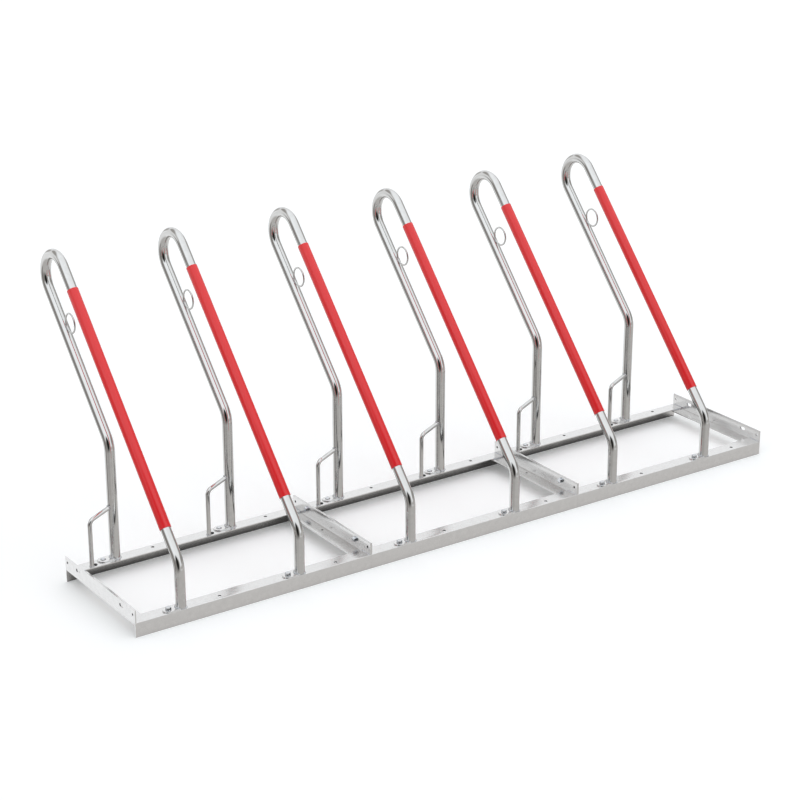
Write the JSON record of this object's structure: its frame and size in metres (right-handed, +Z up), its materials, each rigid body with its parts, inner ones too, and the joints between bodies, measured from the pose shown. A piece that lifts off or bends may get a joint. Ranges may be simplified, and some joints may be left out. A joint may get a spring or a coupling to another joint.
{
  "type": "bicycle rack",
  "caption": "Row rack of galvanised steel: modules of angle rails bolted end to end, with bent tube hoops, red sleeves, lock rings and wheel guides.",
  "frame": {"origin": "on the floor, at the middle of the rack's length and depth", "axes": "+X along the row of bicycles, to the right as seen from the bicycles' side; +Y to the rear, the way the hoops lean; +Z up"},
  "size_m": [2.0997, 0.7042, 0.821],
  "materials": {
    "galvanised_angle": "bright galvanised, semi-gloss",
    "galvanised_tube": "bright galvanised, glossy",
    "galvanised_wire": "bright galvanised, semi-gloss",
    "zinc_fastener": "zinc plated, semi-gloss",
    "red_sleeve": "satin"
  },
  "bodies": {
    "root": {"front_rail_1": "galvanised_angle", "rear_rail_1": "galvanised_angle", "left_cross_member_1": "galvanised_angle", "right_cross_member_1": "galvanised_angle", "front_rail_2": "galvanised_angle", "rear_rail_2": "galvanised_angle", "left_cross_member_2": "galvanised_angle", "right_cross_member_2": "galvanised_angle", "front_rail_3": "galvanised_angle", "rear_rail_3": "galvanised_angle", "left_cross_member_3": "galvanised_angle", "right_cross_member_3": "galvanised_angle", "hoop_1": "galvanised_tube", "sleeve_1": "red_sleeve", "lock_ring_1": "galvanised_wire", "wheel_guide_1": "galvanised_wire", "front_foot_bolt_1": "zinc_fastener", "rear_foot_bolt_1": "zinc_fastener", "hoop_2": "galvanised_tube", "sleeve_2": "red_sleeve", "lock_ring_2": "galvanised_wire", "wheel_guide_2": "galvanised_wire", "front_foot_bolt_2": "zinc_fastener", "rear_foot_bolt_2": "zinc_fastener", "hoop_3": "galvanised_tube", "sleeve_3": "red_sleeve", "lock_ring_3": "galvanised_wire", "wheel_guide_3": "galvanised_wire", "front_foot_bolt_3": "zinc_fastener", "rear_foot_bolt_3": "zinc_fastener", "hoop_4": "galvanised_tube", "sleeve_4": "red_sleeve", "lock_ring_4": "galvanised_wire", "wheel_guide_4": "galvanised_wire", "front_foot_bolt_4": "zinc_fastener", "rear_foot_bolt_4": "zinc_fastener", "hoop_5": "galvanised_tube", "sleeve_5": "red_sleeve", "lock_ring_5": "galvanised_wire", "wheel_guide_5": "galvanised_wire", "front_foot_bolt_5": "zinc_fastener", "rear_foot_bolt_5": "zinc_fastener", "hoop_6": "galvanised_tube", "sleeve_6": "red_sleeve", "lock_ring_6": "galvanised_wire", "wheel_guide_6": "galvanised_wire", "front_foot_bolt_6": "zinc_fastener", "rear_foot_bolt_6": "zinc_fastener", "front_joint_bolt_1": "zinc_fastener", "front_joint_nut_1": "zinc_fastener", "rear_joint_bolt_1": "zinc_fastener", "rear_joint_nut_1": "zinc_fastener", "front_joint_bolt_2": "zinc_fastener", "front_joint_nut_2": "zinc_fastener", "rear_joint_bolt_2": "zinc_fastener", "rear_joint_nut_2": "zinc_fastener"}
  },
  "joints": []
}
